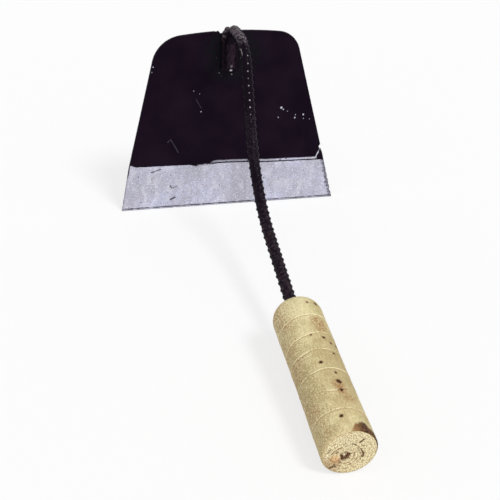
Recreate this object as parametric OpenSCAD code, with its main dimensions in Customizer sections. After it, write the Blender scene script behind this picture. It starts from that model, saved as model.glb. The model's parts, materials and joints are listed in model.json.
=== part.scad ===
// Hand hoe: a steel blade, a ribbed bar bent into a crook and welded to the
// blade's face, and a turned wooden grip driven onto the bar's tang.
// It stands as it does on the ground, on its cutting edge and on the rim of its butt.
// +Y runs from the butt to the blade, +Z is up, +X is to the right seen from the grip.
// The origin is on the ground, under the middle of the hoe.

/* [Blade] */
// Width of the cutting edge
blade_w = 185; // [150:1:220]
// Height of the blade, from the cutting edge to the middle of its arched top
blade_h = 155; // [146:1:180]
// Thickness of the plate
blade_t = 2.5; // [2:0.1:4]
// How far the left side leans in
left_lean = 12.8; // [8:0.1:16]
// How far the left side leans in beside the ground band
left_band_lean = 9.7; // [5:0.1:12]
// How far the right side leans in
right_lean = 14.4; // [8:0.1:16]
// Radius of the arched top
arch_r = 345; // [250:5:800]
// Radius of the left shoulder
left_shoulder_r = 27; // [10:0.5:30]
// Radius of the right shoulder
right_shoulder_r = 20; // [10:0.5:30]
// Height of the ground band at its middle
band_h = 39.5; // [20:0.5:50]
// How far the ground band's upper line climbs to the left
band_tilt = 0.9; // [0:0.1:2]
// Thickness that the grinding leaves at the cutting edge
edge_t = 0.9; // [0.5:0.1:1.8]
// How far the blade's top leans away from the grip
blade_lean = 1.7; // [0:0.1:6]

/* [Bar] */
// Diameter of the bar without its ribs
bar_d = 8.2; // [7:0.1:8.4]
// Height of the cross ribs
rib_h = 0.8; // [0.4:0.05:0.8]
// Width of a cross rib at its foot
rib_w = 2.4; // [1.5:0.1:3]
// Width of a cross rib at its crest
crest_w = 1; // [0.6:0.1:1.4]
// Distance from rib to rib on the right side
right_pitch = 5.6; // [5:0.1:9]
// Distance from rib to rib on the left side
left_pitch = 7.1; // [5:0.1:9]
// Slant of the cross ribs
rib_slant = 24; // [0:1:35]
// Height of the two seams that run along the bar
seam_h = 0.45; // [0.2:0.05:0.8]
// Width of the two seams that run along the bar
seam_w = 1.3; // [0.8:0.1:2]

/* [Bends] */
// Length of the tang inside the grip
tang_l = 100; // [60:1:110]
// Length of the tang's drawn point
point_l = 14; // [6:1:25]
// Length of straight bar that shows before the first bend
lead_l = 12; // [6:0.5:16]
// Turn of the bar where it leaves the grip
exit_turn = 7.1; // [3:0.1:9]
// Radius of that turn
exit_r = 45; // [20:1:80]
// Length of the straight stretch in front of the grip
reach_l = 62.5; // [50:0.5:75]
// Turn of the long bend
rise_turn = 51; // [40:0.1:58]
// Radius of the long bend
rise_r = 114; // [80:1:125]
// Radius of the bend where the riser turns level, to the middle of the bar
bend_r = 28; // [22:0.5:34]
// Length of the level top of the crook
top_l = 14.5; // [8:0.5:20]
// Radius of the bend down to the foot, to the middle of the bar
crook_r = 14; // [12:0.5:18]
// Length of the foot, which is welded flat to the blade
foot_l = 20; // [16:0.5:24]
// How far the crook is turned to the left round the riser
crook_side = 2; // [0:0.1:3]
// Height of the foot's end above the cutting edge
foot_height = 126; // [114:0.5:127]

/* [Grip] */
// Length of the grip
grip_l = 140.5; // [125:0.5:165]
// Diameter at the butt
butt_d = 36.4; // [32:0.1:42]
// Diameter at the front, behind the domed end
front_d = 35.4; // [30:0.1:40]
// Diameter of the flat that is left on the domed end, round the bar
face_d = 13.4; // [10:0.1:20]
// Radius of the worn rim at the butt
rim_r = 2; // [1:0.1:4]
// Slope of the grip where the hoe stands
grip_slope = 5.9; // [4:0.1:8]

/* [Welds] */
// Radius of the weld beads
bead_r = 3; // [2.4:0.1:3.6]
// Length of the two side beads
bead_l = 24; // [18:0.5:27]
// How far the left bead runs on, over the blade's top and behind the crook
bead_more = 6; // [0:0.5:7]
// Distance from one ripple of a bead to the next
ripple = 3; // [2:0.1:4]

/* [Hidden] */
$fn = 48;

bar_r = bar_d / 2;
butt_r = butt_d / 2;
front_r = front_d / 2;
face_r = face_d / 2;
band_depth = blade_t - edge_t;
// The tang sits in its bore with this much room, and the bore is this much deeper
bore_room = 0.05;
bore_spare = 3;
// The bar's axis runs this far in front of the plate where its seam lies on it
foot_gap = bar_r + seam_h;
// A cross rib is a disc set off the bar's axis, so that it fades out round the bar
rib_sink = 0.5;
rib_offset = (rib_h + rib_sink) / 2;
rib_r = bar_r + rib_h - rib_offset;
// The first rib is this far from the grip, and the left row starts this much later
first_rib = 2.9;
rib_stagger = 5.7;
// The seams start this far from the grip
seam_clear = 1;
// A seam starts this deep inside the round bar
seam_root = 0.15;
// A ring closes the bar where one stretch meets the next
ring_r = foot_gap + 0.15;
ring_w = 1;
// The leaning plate stands on the back corner of its edge
plate_lift = blade_t * sin(blade_lean);

// A place along the bar is [y, z, angle above +Y]. This carries one on by a length
// that turns evenly through an angle.
function onward(p, l, turn) =
    turn == 0
        ? [p[0] + l * cos(p[2]), p[1] + l * sin(p[2]), p[2]]
        : let (r = l / turn * 180 / PI)
          [
              p[0] + r * (sin(p[2] + turn) - sin(p[2])),
              p[1] - r * (cos(p[2] + turn) - cos(p[2])),
              p[2] + turn
          ];

function arc_length(r, turn) = r * abs(turn) * PI / 180;

riser_slope = grip_slope + exit_turn + rise_turn;
bend_turn = -riser_slope;
crook_turn = -(90 + blade_lean);

// The butt's rim touches the ground
butt_z = (butt_r - rim_r) * cos(grip_slope) - rim_r * sin(grip_slope) + rim_r;

// The stretches of bar outside the grip, as [length, turn].
// The straight riser is as long as it takes for the foot to end at its height
function runs(riser_l) = [
    [lead_l, 0],
    [arc_length(exit_r, exit_turn), exit_turn],
    [reach_l, 0],
    [arc_length(rise_r, rise_turn), rise_turn],
    [riser_l, 0],
    [arc_length(bend_r, bend_turn), bend_turn],
    [top_l, 0],
    [arc_length(crook_r, crook_turn), crook_turn],
    [foot_l, 0]
];

// The place where stretch i starts, when the first one starts at p
function run_start(p, list, i) =
    i == 0 ? p : let (q = run_start(p, list, i - 1)) onward(q, list[i - 1][0], list[i - 1][1]);

// The length of bar before stretch i
function length_before(list, i) = i == 0 ? 0 : length_before(list, i - 1) + list[i - 1][0];

bend_run = 5;
crook_run = 7;
last_run = 8;
front_from_butt = [grip_l * cos(grip_slope), butt_z + grip_l * sin(grip_slope), grip_slope];
foot_z = plate_lift + foot_height * cos(blade_lean) + foot_gap * sin(blade_lean);
without_riser = run_start(front_from_butt, runs(0), last_run + 1);
riser_l = max(8, (foot_z - without_riser[1]) / sin(riser_slope));
bar_runs = runs(riser_l);

// Where the plate's front face meets the ground, seen from the middle of the butt
foot_from_butt = run_start(front_from_butt, bar_runs, last_run + 1);
face_from_butt = foot_from_butt[0]
    + (foot_gap - (foot_from_butt[1] - plate_lift) * sin(blade_lean)) / cos(blade_lean);

// The hoe reaches from the butt's upper rim to the blade's upper back edge
nearest = rim_r * cos(grip_slope) - rim_r - (butt_r - rim_r) * sin(grip_slope);
furthest = face_from_butt + blade_t * cos(blade_lean) + blade_h * sin(blade_lean);
butt_y = -(nearest + furthest) / 2;
face_y = butt_y + face_from_butt;
bar_start = [butt_y + front_from_butt[0], front_from_butt[1], grip_slope];
foot_end = [butt_y + foot_from_butt[0], foot_from_butt[1]];
toe_v = (foot_end[1] - plate_lift - foot_gap * sin(blade_lean)) / cos(blade_lean);

// The crook's turn about the riser's line carries a place [y, z] beyond the riser to the left
riser_top = run_start(bar_start, bar_runs, bend_run);
function side_of(p) =
    sin(crook_side) * ((p[1] - riser_top[1]) * cos(riser_slope) - (p[0] - riser_top[0]) * sin(riser_slope));
// The foot's place across, so far above its end
function foot_x(l) = side_of(foot_end + l * [sin(blade_lean), cos(blade_lean)]);

// Ribs run from the grip to where the weld covers the bar
weld_over_crook = 8;
rib_end = length_before(bar_runs, last_run) - weld_over_crook;
// A rib keeps this far from the ring at either end of its stretch
rib_room = 1.9;

// Side beads lie in the corner between the bar and the plate
bead_x = bar_r + 0.4;
bead_y = -1.6;
toe_drop = 1.8;
// The left bead ends this far from the foot's middle, where it has run on
run_on_x = -2.8;
// Spatter: place across, place above the foot's end, radius
spatter = [
    [-10, -6, 1.1], [-8.2, -8.8, 0.9], [0.4, -7.6, 1.2],
    [9.5, 3, 0.8], [-12.4, 7, 0.9], [11.8, -4.5, 0.6]
];

// A point on the arc round c from angle a to angle b
function arc_points(c, r, a, b, n) =
    [for (i = [0:n]) c + r * [cos(a + (b - a) * i / n), sin(a + (b - a) * i / n)]];

// Puts a child drawn at the bar's middle, pointing along +Y, at a place along the bar
module along_bar(p) translate([0, p[0], p[1]]) rotate([p[2], 0, 0]) children();

// Puts a child drawn against the XZ plane onto the blade's front face
module on_blade() translate([0, face_y, plate_lift]) rotate([-blade_lean, 0, 0]) children();

// The space that the plate fills or that lies behind its face
module behind_face() translate([-60, 0, -20]) cube([120, 40, blade_h + 80]);

// The two seams, along the top and the bottom of the bar
module seams() for (side = [-1, 1]) translate([0, side * (bar_r - seam_root + foot_gap) / 2])
    square([seam_w, seam_h + seam_root], center = true);

// One straight or bent stretch of bar, with the section that is its child
module stretch(l, turn) {
    if (turn == 0) {
        rotate([-90, 0, 0]) linear_extrude(l) children();
    } else {
        side = sign(turn);
        r = l / abs(turn) * 180 / PI;
        translate([0, 0, side * r]) rotate([0, side * 90, 0])
            rotate_extrude(angle = abs(turn)) translate([r, 0]) rotate(90) children();
    }
}

// Turns what lies beyond the riser, on stretch i, to the left round the riser's line
module turned_left(i) {
    turn = i < bend_run ? 0 : crook_side;
    translate([0, riser_top[0], riser_top[1]]) rotate(a = turn, v = [0, cos(riser_slope), sin(riser_slope)])
        translate([0, -riser_top[0], -riser_top[1]]) children();
}

// Stretch i of the bar, with its seams and the ring at its start
module bar_run(i) turned_left(i) {
    along_bar(run_start(bar_start, bar_runs, i)) {
        stretch(bar_runs[i][0], bar_runs[i][1]) circle(bar_r);
        stretch(bar_runs[i][0], bar_runs[i][1]) seams();
        rotate([90, 0, 0]) cylinder(r = ring_r, h = ring_w, center = true);
    }
}

// A cross rib on the right side, with sloping flanks
module rib() {
    flank = (rib_w - crest_w) / 2;
    translate([rib_offset, 0, 0]) rotate([90 + rib_slant, 0, 0]) rotate_extrude()
        polygon([
            [0, -rib_w / 2], [rib_r - rib_h, -rib_w / 2], [rib_r, flank - rib_w / 2],
            [rib_r, rib_w / 2 - flank], [rib_r - rib_h, rib_w / 2], [0, rib_w / 2]
        ]);
}

// The ribs of one row that fall on stretch i
module rib_row(i, side, first, pitch) {
    from = length_before(bar_runs, i);
    l = bar_runs[i][0];
    for (s = [first:pitch:rib_end]) if (s > from + rib_room && s < from + l - rib_room)
        along_bar(onward(run_start(bar_start, bar_runs, i), s - from, bar_runs[i][1] * (s - from) / l))
            mirror([side < 0 ? 1 : 0, 0, 0]) rib();
}

module ribs(i) turned_left(i) {
    rib_row(i, 1, first_rib, right_pitch);
    rib_row(i, -1, first_rib + rib_stagger, left_pitch);
}

// The tang and the straight stretch that shows in front of the grip, which are one cylinder
module tang_and_lead() {
    along_bar(bar_start) rotate([90, 0, 0]) {
        translate([0, 0, -lead_l]) cylinder(r = bar_r, h = lead_l + tang_l - point_l);
        translate([0, 0, tang_l - point_l]) cylinder(r1 = bar_r, r2 = bar_r / 3, h = point_l);
    }
    along_bar(onward(bar_start, seam_clear, 0)) stretch(lead_l - seam_clear, 0) seams();
    ribs(0);
}

module shank() {
    color([0.13, 0.11, 0.14]) {
        tang_and_lead();
        for (i = [1:last_run]) {
            bar_run(i);
            ribs(i);
        }
    }
}

// The side of the blade as a line: where it starts, which way it runs, which way is inward
function side_start(side) =
    side > 0 ? [blade_w / 2, 0] : [-blade_w / 2 + band_h * tan(left_band_lean), band_h];
function side_lean(side) = side > 0 ? right_lean : left_lean;
function side_up(side) = [-side * sin(side_lean(side)), cos(side_lean(side))];
function side_in(side) = [-side * cos(side_lean(side)), -sin(side_lean(side))];

arch_middle = [0, blade_h - arch_r];

// The middle of a shoulder that touches both the side and the arched top
function shoulder_middle(side, r) =
    let (q = side_start(side) + r * side_in(side) - arch_middle, d = side_up(side), b = q * d)
    arch_middle + q + d * (sqrt(b * b - q * q + (arch_r - r) * (arch_r - r)) - b);

// Where the arched top ends and a shoulder starts, as an angle round the arch's middle
function top_angle(side, r) = let (c = shoulder_middle(side, r) - arch_middle) atan2(c[1], c[0]);

arch_from = top_angle(1, right_shoulder_r);
arch_to = top_angle(-1, left_shoulder_r);
arch_steps = 16;

// The cutting edge, the right side and shoulder, the arched top, the left shoulder and side
module blade_outline() polygon(concat(
    [[-blade_w / 2, 0], side_start(1)],
    arc_points(shoulder_middle(1, right_shoulder_r), right_shoulder_r, right_lean, arch_from, 10),
    [for (i = [1:arch_steps - 1]) let (a = arch_from + (arch_to - arch_from) * i / arch_steps)
        arch_middle + arch_r * [cos(a), sin(a)]],
    arc_points(shoulder_middle(-1, left_shoulder_r), left_shoulder_r, arch_to, 180 - left_lean, 12),
    [side_start(-1)]
));

module blade() {
    ground_slope = atan(band_depth / band_h);
    color([0.12, 0.1, 0.13]) on_blade() difference() {
        translate([0, blade_t, 0]) rotate([90, 0, 0]) linear_extrude(blade_t) blade_outline();
        translate([0, 0, band_h]) rotate([0, band_tilt, 0]) rotate([ground_slope, 0, 0])
            translate([-blade_w, -10, -1.4 * band_h]) cube([2 * blade_w, 10, 1.4 * band_h + 20]);
    }
}

// Drops laid one over the other from one point to another
module drops(from, to) {
    n = ceil(norm(to - from) / ripple);
    for (i = [0:n]) translate(from + (to - from) * i / n) sphere(bead_r * (i % 2 == 0 ? 1 : 0.93));
}

module side_drops(side) {
    top = [foot_x(bead_l) + side * bead_x, bead_y, toe_v + bead_l];
    drops([foot_x(0) + side * bead_x, bead_y, toe_v], top);
    if (side < 0) drops(top, [foot_x(bead_l) + run_on_x, bead_y, toe_v + bead_l + bead_more]);
}

// The crook and the foot, which the beads lie against
module welded_bar() for (i = [crook_run:last_run]) bar_run(i);

module side_bead(side) {
    color([0.16, 0.14, 0.16]) difference() {
        on_blade() side_drops(side);
        on_blade() behind_face();
        welded_bar();
    }
}

module weld_left() side_bead(-1);

module weld_right() side_bead(1);

module weld_toe() {
    color([0.16, 0.14, 0.16]) difference() {
        on_blade() drops([foot_x(0) - bead_x, bead_y, toe_v - toe_drop],
            [foot_x(0) + bead_x, bead_y, toe_v - toe_drop]);
        on_blade() behind_face();
        on_blade() side_drops(-1);
        on_blade() side_drops(1);
        welded_bar();
    }
}

module weld_spatter() {
    color([0.2, 0.18, 0.2]) on_blade() for (p = spatter) translate([p[0], 0, toe_v + p[1]])
        rotate([90, 0, 0]) rotate_extrude() polygon(concat([[0, 0]], arc_points([0, 0], p[2], 0, 90, 5)));
}

module grip() {
    shoulder = front_r - face_r;
    bore_depth = tang_l + bore_spare;
    color([0.85, 0.78, 0.58]) translate([0, butt_y, butt_z]) rotate([grip_slope, 0, 0]) rotate([-90, 0, 0])
        difference() {
            rotate_extrude() polygon(concat(
                [[0, 0]],
                arc_points([butt_r - rim_r, rim_r], rim_r, -90, 0, 5),
                arc_points([face_r, grip_l - shoulder], shoulder, 0, 90, 14),
                [[0, grip_l]]
            ));
            translate([0, 0, grip_l - bore_depth]) cylinder(r = bar_r + bore_room, h = bore_depth + 1);
        }
}

blade();
shank();
weld_left();
weld_right();
weld_toe();
weld_spatter();
grip();
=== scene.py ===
import json
from math import atan2, ceil, cos, degrees, exp, pi, radians, sin, sqrt, tan

import bmesh
import bpy
from mathutils import Matrix, Vector, geometry, noise


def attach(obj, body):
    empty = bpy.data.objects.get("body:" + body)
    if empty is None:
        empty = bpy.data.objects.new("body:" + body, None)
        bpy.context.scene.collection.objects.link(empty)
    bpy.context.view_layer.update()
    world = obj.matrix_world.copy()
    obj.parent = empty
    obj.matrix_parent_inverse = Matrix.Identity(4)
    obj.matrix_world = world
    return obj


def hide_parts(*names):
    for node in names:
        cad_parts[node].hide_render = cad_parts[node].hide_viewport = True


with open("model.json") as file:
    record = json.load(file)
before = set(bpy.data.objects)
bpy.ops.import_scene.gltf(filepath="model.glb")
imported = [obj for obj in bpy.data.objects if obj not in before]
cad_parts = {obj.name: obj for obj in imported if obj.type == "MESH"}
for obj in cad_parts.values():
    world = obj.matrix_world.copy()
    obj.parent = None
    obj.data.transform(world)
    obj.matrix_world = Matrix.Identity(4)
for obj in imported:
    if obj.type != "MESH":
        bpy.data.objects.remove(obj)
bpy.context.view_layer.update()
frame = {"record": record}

# The blade: one plate of 2.5 mm steel, sheared to shape, whose top leans away from the grip.
# Its front is ground bare along the cutting edge and the rest is painted black. The grinding
# left a ragged border with a bare line above it, and knocks have chipped paint and plate.
MM = 0.001
plate_t = 2.5 * MM
edge_t = 0.9 * MM
blade_w = 185 * MM
blade_h = 155 * MM
arch_r = 345 * MM
left_shoulder_r = 27 * MM
right_shoulder_r = 20 * MM
left_lean = radians(12.8)
left_band_lean = radians(9.7)
right_lean = radians(14.4)
band_h = 39.5 * MM
band_tilt = radians(0.9)
grind_slope = (plate_t - edge_t) / band_h
blunt_h = 0.9 * MM
rim_round = 0.25 * MM
mesh_step = 1.5 * MM

mounts = {mount["name"]: mount for mount in frame["record"]["mounts"]}
across = Vector((1, 0, 0))
into_plate = Vector(mounts["blade_back"]["axis"])
up_plate = Vector((0, -into_plate.z, into_plate.y))
back_middle = Vector(mounts["blade_back"]["pos_m"])
plate_foot = back_middle - back_middle.z / up_plate.z * up_plate - plate_t * into_plate


def on_plate(x, v, depth):
    """A place on the plate: to the right, up from the cutting edge, and in from the front."""
    return plate_foot + x * across + v * up_plate + depth * into_plate


def on_arc(middle, radius, start, end, steps):
    """Points along an arc, from one angle to another."""
    stops = [start + (end - start) / steps * i for i in range(steps + 1)]
    return [middle + radius * Vector((cos(stop), sin(stop))) for stop in stops]


arch_middle = Vector((0, blade_h - arch_r))
left_knee = Vector((band_h * tan(left_band_lean) - blade_w / 2, band_h))
right_foot = Vector((blade_w / 2, 0))


def shoulder_middle(side, start, lean, radius):
    """The middle of the round that touches a side of the blade and its arched top."""
    side_up = Vector((-side * sin(lean), cos(lean)))
    side_in = Vector((-side * cos(lean), -sin(lean)))
    reach = start + radius * side_in - arch_middle
    along = reach.dot(side_up)
    climb = sqrt(along ** 2 - reach.dot(reach) + (arch_r - radius) ** 2) - along
    return arch_middle + reach + climb * side_up


def angle_of(arm):
    """The angle of a flat vector, from the right."""
    return atan2(arm.y, arm.x)


right_middle = shoulder_middle(1, right_foot, right_lean, right_shoulder_r)
left_middle = shoulder_middle(-1, left_knee, left_lean, left_shoulder_r)
arch_from = angle_of(right_middle - arch_middle)
arch_to = angle_of(left_middle - arch_middle)
corners = [Vector((-blade_w / 2, 0)), right_foot]
corners += on_arc(right_middle, right_shoulder_r, right_lean, arch_from, 16)
corners += on_arc(arch_middle, arch_r, arch_from, arch_to, 40)[1:-1]
corners += on_arc(left_middle, left_shoulder_r, arch_to, pi - left_lean, 20)
corners += [left_knee]

# Knocks in the outline: place across, place up, half its length, depth
knocks = [(80.1, 49, 1.9, 1.7), (81.1, 45.6, 0.8, 0.6), (-8.4, 154.9, 1.6, 2.1), (-12.6, 154.8, 0.8, 0.4),
          (90.6, 7.5, 1.2, 0.7), (89, 13, 0.8, 0.5), (87.4, 19, 0.9, 0.6), (85.9, 25, 0.8, 0.5),
          (-91.6, 6, 1, 0.35), (34, 0, 1.4, 0.3), (-47, 0, 1.1, 0.35), (-64.5, 123, 1.4, 0.3)]


def stepped(points, step):
    """The same closed outline, with points no further apart than a step."""
    made = []
    for here, after in zip(points, points[1:] + points[:1]):
        parts = ceil((after - here).length / step)
        made += [here.lerp(after, i / parts) for i in range(parts)]
    return made


def inward(points):
    """For each point of a closed outline, the direction square to it that points in."""
    arms = [after - before for before, after in zip(points[-1:] + points[:-1], points[1:] + points[:1])]
    return [Vector((-arm.y, arm.x)).normalized() for arm in arms]


def brought_in(point):
    """How far shearing and knocks bring the outline in at a point."""
    rough = 0.07 * MM * (1 + noise.noise(point.to_3d() / (2.2 * MM)))
    for x, v, half, deep in knocks:
        away = (point - MM * Vector((x, v))).length / (half * MM)
        rough += deep * MM * exp(-away ** 4)
    return rough


smooth_outline = stepped(corners, 0.6 * MM)
outline = [point + brought_in(point) * way for point, way in zip(smooth_outline, inward(smooth_outline))]
ways_in = inward(outline)
inner_outline = [point + rim_round * way for point, way in zip(outline, ways_in)]


def crease_height(x):
    """Where the ground band ends on the front."""
    return band_h - x * tan(band_tilt)


def front_depth(x, v):
    """How far the front face lies behind the plate's full thickness."""
    place = Vector((x, v, 0))
    ground = max(0, crease_height(x) - v)
    buckle = 0.09 * MM * (1 + noise.noise(place / (42 * MM)))
    dressing = 0.05 * MM * (1 + noise.noise(place / (9 * MM))) * min(1, ground / (4 * MM))
    blunt = 0.45 * max(0, blunt_h - v)
    return ground * grind_slope + buckle + dressing + blunt


def back_depth(x, v):
    """How far the back face lies behind the front's full thickness."""
    return plate_t - 0.05 * MM * (1 + noise.noise(Vector((x, v, 9 * MM)) / (38 * MM)))


def width_at(height):
    """The plate's left and right ends at a height, or None above its top."""
    ends = []
    for here, after in zip(inner_outline, inner_outline[1:] + inner_outline[:1]):
        if (here.y > height) != (after.y > height):
            ends.append(here.lerp(after, (height - here.y) / (after.y - here.y)).x)
    return (min(ends), max(ends)) if ends else None


def points_inside(step, clear):
    """A field of points over the plate, which stays clear of its outline and its crease."""
    made = []
    for row in range(1, ceil(blade_h / step)):
        height = row * step
        limits = [width_at(height), width_at(height + clear), width_at(max(clear / 2, height - clear))]
        if None in limits:
            continue
        left = max(limit[0] for limit in limits) + clear
        right = min(limit[1] for limit in limits) - clear
        count = max(1, round((right - left) / step))
        spread = [left + (right - left) * (i + 0.5 * (row % 2)) / count for i in range(count)]
        made += [Vector((x, height)) for x in spread if abs(height - crease_height(x)) > 0.4 * step]
    return made


def plate_face(step, depth_at, line=()):
    """Points and triangles of one face of the plate, and where its outline's points went."""
    loop = len(inner_outline)
    flat = inner_outline + list(line) + points_inside(step, 0.6 * step)
    edges = [(i, (i + 1) % loop) for i in range(loop)]
    edges += [(loop + i, loop + i + 1) for i in range(len(line) - 1)]
    places, _, faces, origins, _, _ = geometry.delaunay_2d_cdt(flat, edges, [], 1, 1e-7)
    rim = {source: i for i, sources in enumerate(origins) for source in sources if source < loop}
    return [on_plate(p.x, p.y, depth_at(p.x, p.y)) for p in places], [tuple(f) for f in faces], rim


def make_piece(name, points, faces, crisp=35):
    """A mesh piece with its faces turned outward, smooth but for bends over so many degrees."""
    mesh = bpy.data.meshes.new(name)
    mesh.from_pydata(points, [], faces)
    shape = bmesh.new()
    shape.from_mesh(mesh)
    bmesh.ops.recalc_face_normals(shape, faces=shape.faces)
    shape.to_mesh(mesh)
    shape.free()
    mesh.shade_smooth()
    mesh.set_sharp_from_angle(angle=radians(crisp))
    piece = bpy.data.objects.new(name, mesh)
    bpy.context.scene.collection.objects.link(piece)
    return piece


crease_steps = 150
crease_clear = 1.2 * MM
plate_left, plate_right = width_at(band_h)
crease_from = plate_left + crease_clear
crease_l = plate_right - crease_clear - crease_from
crease_across = [crease_from + crease_l * i / crease_steps for i in range(crease_steps + 1)]
crease = [Vector((x, crease_height(x))) for x in crease_across]
plate_points, plate_faces, front_rim = plate_face(mesh_step, front_depth, crease)
back_points, back_faces, back_rim = plate_face(2 * mesh_step, back_depth)
front_count = len(plate_points)
plate_points += back_points
plate_faces += [tuple(front_count + i for i in face) for face in back_faces]
loops = [[front_rim[i] for i in range(len(outline))]]
for depth_at, sink in ((front_depth, rim_round), (back_depth, -rim_round)):
    loops.append(list(range(len(plate_points), len(plate_points) + len(outline))))
    plate_points += [on_plate(p.x, p.y, depth_at(p.x, p.y) + sink) for p in outline]
loops.append([front_count + back_rim[i] for i in range(len(outline))])
for near, far in zip(loops, loops[1:]):
    plate_faces += [(near[i - 1], near[i], far[i], far[i - 1]) for i in range(len(outline))]
blade = make_piece("painted_blade", plate_points, plate_faces)


def rgb(*levels):
    """A colour given as screen levels from 0 to 255."""
    parts = [level / 255 for level in levels]
    return tuple(part / 12.92 if part < 0.04045 else ((part + 0.055) / 1.055) ** 2.4 for part in parts) + (1,)


class Shade:
    """A socket of a finish. Arithmetic on it adds Math nodes to the same finish."""

    def __init__(self, tree, socket):
        self.tree = tree
        self.socket = socket

    def node(self, kind, settings, sockets, output=0):
        """Adds any other node: its settings, then its sockets' values or links."""
        made = self.tree.nodes.new(kind)
        for name, value in settings.items():
            setattr(made, name, value)
        for name, value in sockets.items():
            if isinstance(value, Shade):
                self.tree.links.new(value.socket, made.inputs[name])
            else:
                made.inputs[name].default_value = value
        return Shade(self.tree, made.outputs[output]) if made.outputs else None

    def math(self, operation, first, second=0.0):
        return self.node("ShaderNodeMath", {"operation": operation}, {0: first, 1: second})

    def vector(self, operation, first, second, output="Vector"):
        return self.node("ShaderNodeVectorMath", {"operation": operation}, {0: first, 1: second}, output)

    def __add__(self, other):
        return self.math("ADD", self, other)

    def __radd__(self, other):
        return self.math("ADD", other, self)

    def __sub__(self, other):
        return self.math("SUBTRACT", self, other)

    def __rsub__(self, other):
        return self.math("SUBTRACT", other, self)

    def __mul__(self, other):
        return self.math("MULTIPLY", self, other)

    def __rmul__(self, other):
        return self.math("MULTIPLY", other, self)

    def __truediv__(self, other):
        return self.math("DIVIDE", self, other)

    def __abs__(self):
        return self.math("ABSOLUTE", self)

    def __or__(self, other):
        return self.math("MAXIMUM", self, other)

    def rise(self, start, end):
        """0 at the start and 1 at the end, eased. It falls where the start is the larger."""
        return self.node("ShaderNodeMapRange", {"interpolation_type": "SMOOTHSTEP"},
                         {"Value": self, "From Min": start, "From Max": end})

    def blend(self, first, second):
        """The first colour where this is 0 and the second where it is 1."""
        return self.node("ShaderNodeMix", {"data_type": "RGBA"}, {"Factor": self, 6: first, 7: second}, 2)

    def coated(self, *coats):
        """This colour with others laid over it in turn, each where its mask is 1."""
        tone = self
        for mask, colour in coats:
            tone = mask.blend(tone, colour)
        return tone

    def along(self, direction):
        return self.vector("DOT_PRODUCT", self, direction, "Value")

    def scaled(self, factors):
        return self.vector("MULTIPLY", self, factors)

    def far_from(self, point):
        return self.vector("DISTANCE", self, point, "Value")

    def mottle(self, size, detail=2.0, output="Fac"):
        """Soft noise whose patches are about so many millimetres across."""
        sockets = {"Vector": self, "Scale": 1 / size, "Detail": detail}
        return self.node("ShaderNodeTexNoise", {}, sockets, output)

    def shaken(self, size, amount):
        """This place moved a little and at random, so that a mark laid on it has a ragged rim."""
        noise_colour = self.mottle(size, 3.0, "Color")
        shift = noise_colour.vector("SUBTRACT", noise_colour, (0.5, 0.5, 0.5))
        return self.vector("ADD", self, shift.scaled((amount, amount, amount)))

    def stroke(self, start, end, width):
        """1 on a straight mark of a width between two points, 0 beside it."""
        run = Vector(end) - Vector(start)
        arm = self.vector("SUBTRACT", self, tuple(start))
        share = arm.node("ShaderNodeMath", {"operation": "ADD", "use_clamp": True},
                         {0: arm.along(tuple(run / run.length_squared)), 1: 0.0})
        nearest = share.node("ShaderNodeVectorMath", {"operation": "SCALE"}, {0: tuple(run), "Scale": share})
        return arm.far_from(nearest).rise(width / 2 + 0.2, width / 2 - 0.1)

    def bump(self, deep):
        """A normal bent by this height, which is so many metres deep."""
        return self.node("ShaderNodeBump", {}, {"Height": self, "Distance": deep}, "Normal")


def start_finish(name):
    """A new material, and the place of each point on it in millimetres."""
    finish = bpy.data.materials.new(name)
    finish.use_nodes = True
    finish.node_tree.nodes.clear()
    places = Shade(finish.node_tree, None).node("ShaderNodeTexCoord", {}, {}, "Object")
    return finish, places.scaled((1 / MM, 1 / MM, 1 / MM))


def end_finish(finish, place, sockets):
    """Gives a material its one Principled shader."""
    shader = place.node("ShaderNodeBsdfPrincipled", {}, sockets)
    place.node("ShaderNodeOutputMaterial", {}, {"Surface": shader})


def flat_place(place, point, rightward, upward):
    """A place on a plane as X and Y in millimetres, from a point on that plane."""
    x = place.along(tuple(rightward)) - point.dot(rightward) / MM
    y = place.along(tuple(upward)) - point.dot(upward) / MM
    return x, y, x.node("ShaderNodeCombineXYZ", {}, {"X": x, "Y": y})


black_paint = rgb(16, 6, 20)
thin_paint = rgb(25, 14, 28)
weld_soot = rgb(15, 20, 20)
bare_steel = rgb(196, 197, 219)
bright_steel = rgb(244, 244, 250)
warm_steel = rgb(178, 175, 186)
shade_steel = rgb(142, 140, 158)
dirt = rgb(40, 35, 42)

# Bare chips in the paint: place across, place up, radius
chips = [(43.6, 86.6, 0.95), (45.3, 85, 0.5), (55.6, 77, 0.6), (62.9, 79.3, 0.7), (49, 83.3, 0.3),
         (56.1, 79.6, 0.35), (41.2, 78, 0.45), (63.2, 75.8, 0.35), (68.4, 75, 0.35), (-24.7, 87, 0.45),
         (-31, 105.4, 0.25), (-26, 102.7, 0.25), (-64.2, 127.4, 0.35), (-65.2, 123, 0.3), (0.3, 121.2, 0.4)]
# Dark marks on the ground band: start, end, width
scars = [((-65.7, 35.2), (-58.9, 37.4), 0.8), ((-67, 34.8), (-64.5, 35.4), 1.1),
         ((-78, 31.6), (-77.9, 31.7), 0.9), ((-50.5, 31.3), (-50.4, 31.4), 0.9),
         ((-50.9, 21.4), (-49.4, 19), 0.9), ((-49.4, 19), (-45, 20.2), 0.5),
         ((-50.5, 8.3), (-46.9, 10), 1.5), ((-8.6, 19), (-8.4, 19.2), 0.7),
         ((30, 23), (30.3, 23.2), 0.8), ((-46, 33), (-45.8, 33), 0.6), ((-76, 7.1), (-75.4, 7), 0.7)]
# Faint scratches in the paint: start, end, width
scratches = [((-50, 63.4), (-43.8, 51.6), 0.25), ((-53, 61.4), (-50.2, 63.8), 0.3),
             ((-29, 98), (-24.6, 90), 0.2)]

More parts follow.
